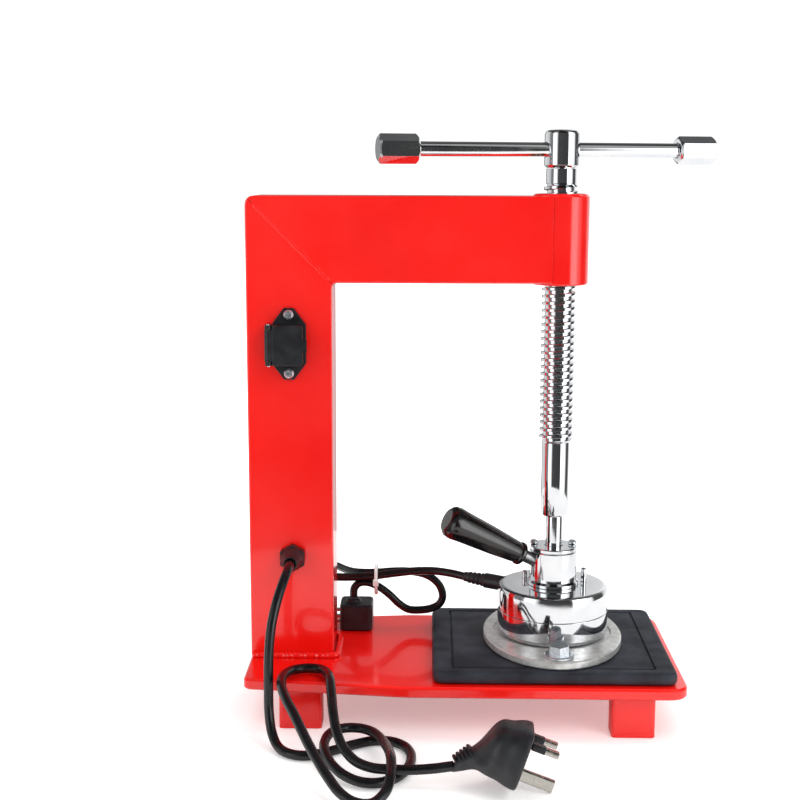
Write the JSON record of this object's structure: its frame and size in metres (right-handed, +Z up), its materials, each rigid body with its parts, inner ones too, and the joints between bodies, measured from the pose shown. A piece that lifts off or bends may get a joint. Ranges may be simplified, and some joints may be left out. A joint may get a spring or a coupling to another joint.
{
  "type": "heated bench screw press",
  "caption": "Bench C-frame screw press with a T handle, a swivelling electrically heated drum and oval plate, a rubber pad, and a mains lead.",
  "frame": {"origin": "on the bench, in the middle of the box round the press without its leads", "axes": "+Z up along the screw, -Y towards the operator, -X towards the column, +X towards the open end of the C"},
  "size_m": [0.3305, 0.2798, 0.413],
  "materials": {
    "red_enamel": "gloss enamel over welded steel",
    "chrome": "bright chromium plate",
    "cast_aluminium": "cast, machined top",
    "pad_rubber": "moulded, matt",
    "phenolic_grip": "moulded phenolic, polished",
    "black_plastic": "moulded, satin",
    "lead_sheath": "extruded PVC, satin",
    "bright_zinc": "zinc plated",
    "plain_steel": "machined",
    "nut_bronze": "machined bronze",
    "contact_brass": "plain",
    "mica_board": "pressed mica",
    "white_nylon": "moulded nylon"
  },
  "bodies": {
    "frame": {"arm": "red_enamel", "base_plate": "red_enamel", "bench_pad": "pad_rubber", "column": "red_enamel", "column_loom": "lead_sheath", "column_weld": "red_enamel", "foot_front_left": "red_enamel", "foot_front_right": "red_enamel", "foot_rear_left": "red_enamel", "foot_rear_right": "red_enamel", "gland_nut": "black_plastic", "lead_gland": "black_plastic", "lid_hinge_pin": "bright_zinc", "mains_lead": "lead_sheath", "mains_plug": "black_plastic", "nut_boss": "red_enamel", "outlet_body": "black_plastic", "outlet_contact_earth": "contact_brass", "outlet_contact_line": "contact_brass", "outlet_contact_neutral": "contact_brass", "outlet_screw_bottom": "bright_zinc", "outlet_screw_top": "bright_zinc", "plug_pin_earth": "contact_brass", "plug_pin_line": "contact_brass", "plug_pin_neutral": "contact_brass", "screw_nut": "nut_bronze"},
    "thrust_ball": {"thrust_ball": "plain_steel"},
    "spindle": {"spindle": "chrome", "handle_hub": "chrome"},
    "bar": {"tommy_bar": "chrome", "bar_cap_left": "chrome", "bar_cap_right": "chrome"},
    "head": {"swivel_collar": "chrome", "keeper_plate": "chrome", "keeper_screw_right": "bright_zinc", "keeper_screw_left": "bright_zinc", "handle_grip": "phenolic_grip", "handle_rod": "plain_steel", "heating_plate": "cast_aluminium", "plate_bolt_front": "bright_zinc", "plate_bolt_rear": "bright_zinc", "drum_bowl": "chrome", "drum_cover": "chrome", "cover_stud_right": "chrome", "cover_stud_left": "chrome", "heating_element": "mica_board", "insulation_disc": "mica_board", "press_core": "plain_steel", "thermostat": "contact_brass", "terminal_block": "white_nylon", "lead_relief": "black_plastic", "heater_lead": "lead_sheath", "heater_plug": "black_plastic", "heater_plug_pin_front": "contact_brass", "heater_plug_pin_rear": "contact_brass", "heater_plug_pin_earth": "contact_brass", "lead_tie": "white_nylon"},
    "outlet_lid": {"outlet_lid": "black_plastic"}
  },
  "joints": [
    {"name": "press_travel", "type": "slide", "parent": "frame", "child": "thrust_ball", "axis": [0, 0, 1], "range_m": [0, 0.105]},
    {"name": "screw_spin", "type": "hinge", "parent": "thrust_ball", "child": "spindle", "pos_m": [0.0555, 0, 0.1], "axis": [0, 0, 1], "range_deg": [0, 7560]},
    {"name": "head_swivel", "type": "hinge", "parent": "thrust_ball", "child": "head", "pos_m": [0.0555, 0, 0.1], "axis": [0, 0, 1], "range_deg": [-45, 0]},
    {"name": "bar_slide", "type": "slide", "parent": "spindle", "child": "bar", "axis": [0.9659, 0.2588, 0], "range_m": [-0.073, 0.089]},
    {"name": "lid_hinge", "type": "hinge", "parent": "frame", "child": "outlet_lid", "pos_m": [-0.14635, -0.0312, 0.266], "axis": [0, 0, -1], "range_deg": [0, 100], "stiffness_Nm_per_rad": 0.004, "springref_deg": -17.19}
  ],
  "couplings": [
    {"joint": "press_travel", "follows": "screw_spin", "m_per_rad": 0.00079577}
  ]
}
